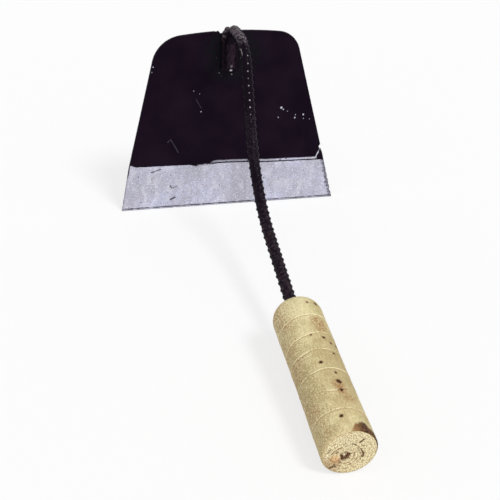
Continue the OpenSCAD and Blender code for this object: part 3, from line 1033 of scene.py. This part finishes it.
# Browner along the left of the butt's rim
brown_left_rim = (from_middle + (rough - 0.5) * 4).rise(15.2, 17) * x.rise(4, -6)
pitted = 0.0
for start, end, width, strength in pits:
    pitted = end_ragged.stroke((*start, 0), (*end, 0), width) * min(1, strength + 0.1) | pitted
butt_tone = (speckle.rise(0.55, 0.4) * 0.85).blend(sawn_wood, sawn_shade).coated(
    (ring_line * ring_stain, sawn_brown),
    (rough.rise(0.55, 0.66) * speckle.rise(0.44, 0.56) * heart * 0.85, sawn_brown),
    (end_ragged.far_from(peach_spot).rise(5, 1.5) * 0.7, peach),
    (end_flat.far_from(brown_spot).rise(8, 3) * speckle.rise(0.46, 0.58) * 0.8, sawn_brown),
    (rotten * 0.85, pith),
    (brown_left_rim * 0.4, brown_wood),
    (pitted * speckle.rise(0.36, 0.47) * 0.95, pith))
on_butt = from_middle.rise(butt_r / MM - 0.9, butt_r / MM - 1.5) * far.rise(1.5, 1.1)
end_finish(grip_finish, place, {
    "Base Color": on_butt.blend(wood_tone, butt_tone),
    "Roughness": 0.66 + (grain - 0.5) * 0.2,
    "Specular IOR Level": 0.14,
    "Normal": (stipple * 0.6 + grain * 0.4 + speckle * 0.3 - knotted * 0.8).bump(0.16 * MM),
})
grip.data.materials.append(grip_finish)
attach(grip, "root")
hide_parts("grip")

# The studio: a wide pale floor and a white surround, lit by a broad soft key from above on the
# right and by even light from all round. To the camera and in reflections both are white.
scene = bpy.context.scene
scene.view_settings.view_transform = "Standard"
floor_half = 12
floor_points = [(floor_half * x, floor_half * y, 0) for x, y in ((-1, -1), (1, -1), (1, 1), (-1, 1))]
floor_mesh = bpy.data.meshes.new("floor")
floor_mesh.from_pydata(floor_points, [], [(0, 1, 2, 3)])
floor = bpy.data.objects.new("floor", floor_mesh)
scene.collection.objects.link(floor)
white = (1, 1, 1, 1)


def looked_at(shade):
    """1 for what the camera sees, also in reflections and through clear things, otherwise 0."""
    camera, glossy, clear = [shade.node("ShaderNodeLightPath", {}, {}, f"Is {kind} Ray")
                             for kind in ("Camera", "Glossy", "Transmission")]
    return camera | glossy | clear


floor_finish, place = start_finish("floor_white")
matt = place.node("ShaderNodeBsdfDiffuse", {}, {"Color": rgb(238, 238, 238)})
glow = place.node("ShaderNodeEmission", {}, {"Color": white, "Strength": 1.0})
shown = place.node("ShaderNodeMixShader", {}, {"Fac": looked_at(place) * 0.72, 1: matt, 2: glow})
place.node("ShaderNodeOutputMaterial", {}, {"Surface": shown})
floor.data.materials.append(floor_finish)

ambient = 0.55
surround = bpy.data.worlds.new("surround")
scene.world = surround
surround.use_nodes = True
surround.node_tree.nodes.clear()
strength = looked_at(Shade(surround.node_tree, None)) * (1 - ambient) + ambient
sky = strength.node("ShaderNodeBackground", {}, {"Color": white, "Strength": strength})
sky.node("ShaderNodeOutputWorld", {}, {"Surface": sky})


def toward(azimuth, elevation):
    """The way from the hoe to an azimuth, to the right of the grip's end, and an elevation."""
    return Vector((sin(azimuth) * cos(elevation), -cos(azimuth) * cos(elevation), sin(elevation)))


def sun(name, azimuth, elevation, energy, spread):
    """A far soft lamp, whose angles are in degrees."""
    lamp = bpy.data.lights.new(name, "SUN")
    lamp.energy = energy
    lamp.angle = radians(spread)
    holder = bpy.data.objects.new(name, lamp)
    holder.rotation_mode = "QUATERNION"
    holder.rotation_quaternion = toward(radians(azimuth), radians(elevation)).to_track_quat("Z", "Y")
    scene.collection.objects.link(holder)


sun("key", 28, 52, 1.9, 16)
sun("fill", -35, 35, 0.35, 60)

# The camera stands behind the butt, a little to its left, and looks down at the hoe through a
# long lens. It is rolled a little to the left.
cam_azimuth = radians(-13.25)
cam_elevation = radians(29.18)
cam_roll = radians(1.98)
cam_distance = 857.9 * MM
cam_target = Vector((-23.8, -6.7, 60.7)) * MM
sensor = 36
focal_px = 1217
frame_px = 500
back = toward(cam_azimuth, cam_elevation)
level = Vector((cos(cam_azimuth), sin(cam_azimuth), 0))
upright = back.cross(level)
cam_right = cos(cam_roll) * level + sin(cam_roll) * upright
cam_up = cos(cam_roll) * upright - sin(cam_roll) * level
cam_data = bpy.data.cameras.new("camera")
cam_data.sensor_width = sensor
cam_data.lens = sensor * focal_px / frame_px
camera = bpy.data.objects.new("camera", cam_data)
turned = Matrix((cam_right, cam_up, back)).transposed().to_4x4()
camera.matrix_world = Matrix.Translation(cam_target + cam_distance * back) @ turned
scene.collection.objects.link(camera)
scene.camera = camera
